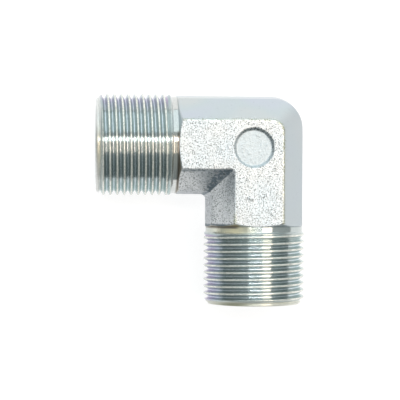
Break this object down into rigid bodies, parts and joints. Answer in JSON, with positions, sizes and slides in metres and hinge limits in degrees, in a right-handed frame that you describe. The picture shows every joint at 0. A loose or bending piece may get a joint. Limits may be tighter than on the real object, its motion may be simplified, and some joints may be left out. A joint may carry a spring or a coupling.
{
  "type": "hydraulic elbow adapter",
  "caption": "One-piece forged steel elbow adapter, a right angle between equal male pipe-thread ends, with an octagonal body and a drilled oil passage.",
  "frame": {"origin": "crossing of the axes of the two drillings, at mid thickness of the elbow", "axes": "-X and -Y run out along the two arms, +Z is square to both and comes out of the face with the round die mark"},
  "size_m": [0.0547, 0.0547, 0.0264],
  "materials": {
    "zinc_plated_steel": "bright zinc plate: turned and bright on the threads and ends, smooth on the outer strips, rough from the die and blasting elsewhere"
  },
  "bodies": {
    "root": {"elbow_body": "zinc_plated_steel"}
  },
  "joints": []
}
